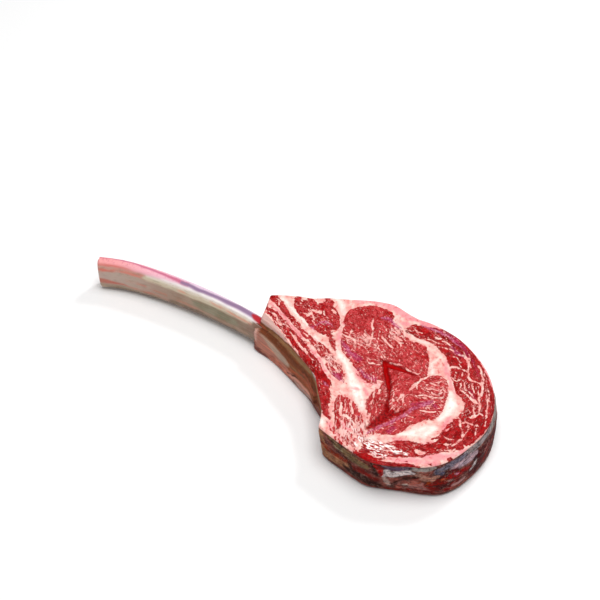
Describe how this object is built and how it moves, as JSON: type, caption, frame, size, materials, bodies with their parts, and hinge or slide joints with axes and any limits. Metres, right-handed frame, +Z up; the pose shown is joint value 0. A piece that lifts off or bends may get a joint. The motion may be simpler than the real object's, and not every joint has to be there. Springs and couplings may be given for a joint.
{
  "type": "raw tomahawk steak",
  "caption": "Thick raw beef rib steak with marbled muscles in a web of fat, lying flat on a cut face, with the long curved rib bone left on and scraped clean.",
  "frame": {"origin": "centre of the whole object's box in plan, on the surface it lies on", "axes": "+Z up, out of the upper cut face; +X along the object, from the bare end of the rib towards the meat; +Y towards the outer edge of the tail end"},
  "size_m": [0.4056, 0.164, 0.0473],
  "materials": {
    "lean": "wet, fine-grained raw muscle with pale marbling",
    "dark_lean": "wet, darker and coarser raw muscle with pale marbling",
    "fat": "waxy pink-white fat, grey-brown where it has dried on the sides",
    "bone": "satin scraped bone with traces of red"
  },
  "bodies": {
    "root": {"rib_bone": "bone", "fat_web": "fat", "ribeye": "lean", "rib_cap": "dark_lean", "tail_muscle": "lean", "intercostal_inner": "lean", "intercostal_outer": "lean", "chine_muscle": "lean"}
  },
  "joints": []
}
